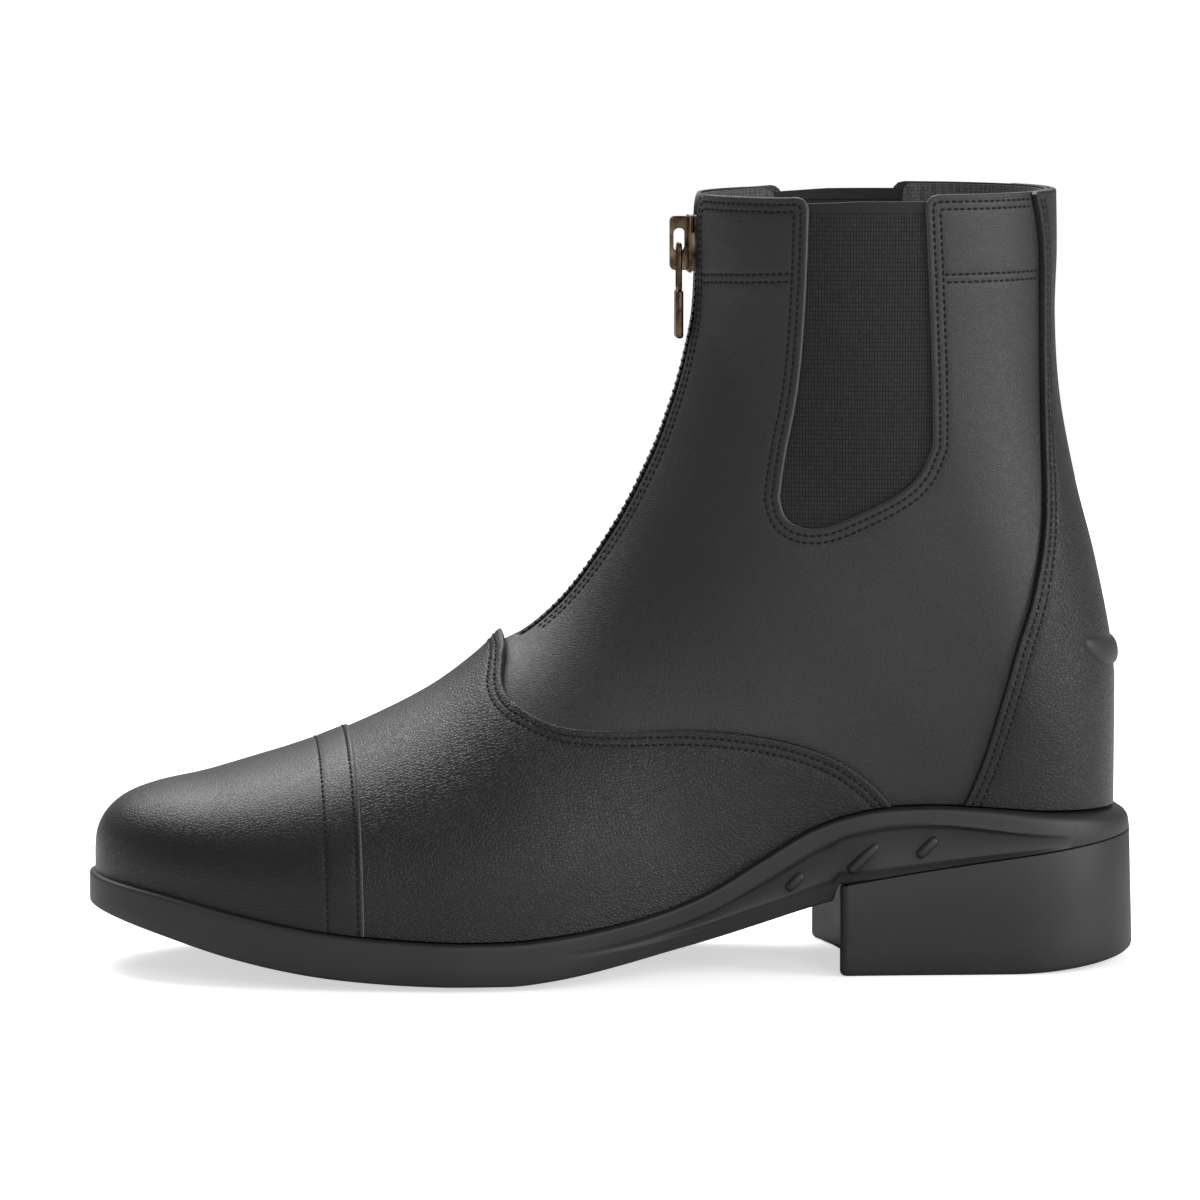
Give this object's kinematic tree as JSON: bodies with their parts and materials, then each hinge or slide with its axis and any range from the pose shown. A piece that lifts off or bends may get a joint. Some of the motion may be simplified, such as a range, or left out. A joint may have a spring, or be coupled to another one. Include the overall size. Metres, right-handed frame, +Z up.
{
  "type": "paddock boot",
  "caption": "Left ankle-height riding boot with closed front zip, elastic side gores, lapped toe cap, spur rest and moulded sole with a low heel.",
  "frame": {"origin": "on the floor under the middle of the sole's length and width", "axes": "+Z up, +X towards the heel, toe towards -X, outer side of the foot towards -Y"},
  "size_m": [0.276, 0.1006, 0.204],
  "materials": {
    "sole_rubber": "satin moulded rubber",
    "heel_rubber": "satin moulded rubber",
    "insole_fabric": "matt cloth",
    "quarter_leather": "smooth black leather, soft gloss",
    "grained_leather": "finely grained black leather",
    "cap_leather": "finely grained black leather, polished",
    "counter_leather": "finely grained black leather",
    "gore_elastic": "woven black elastic",
    "zip_tape_fabric": "woven black tape",
    "zip_chain_metal": "blackened teeth",
    "antique_brass": "dark antique brass with bright rubbed edges"
  },
  "bodies": {
    "boot": {"outsole": "sole_rubber", "heel": "heel_rubber", "insole": "insole_fabric", "upper": "quarter_leather", "vamp": "grained_leather", "toe_cap": "cap_leather", "counter": "counter_leather", "gore_outer": "gore_elastic", "gore_inner": "gore_elastic", "zip_tape": "zip_tape_fabric", "zip_chain": "zip_chain_metal", "zip_slider": "antique_brass", "spur_rest": "heel_rubber"},
    "pull": {"zip_pull": "antique_brass"}
  },
  "joints": [
    {"name": "pull_swing", "type": "hinge", "parent": "boot", "child": "pull", "pos_m": [0.0172, 0, 0.1892], "axis": [0, 1, 0], "range_deg": [0, 150]}
  ]
}
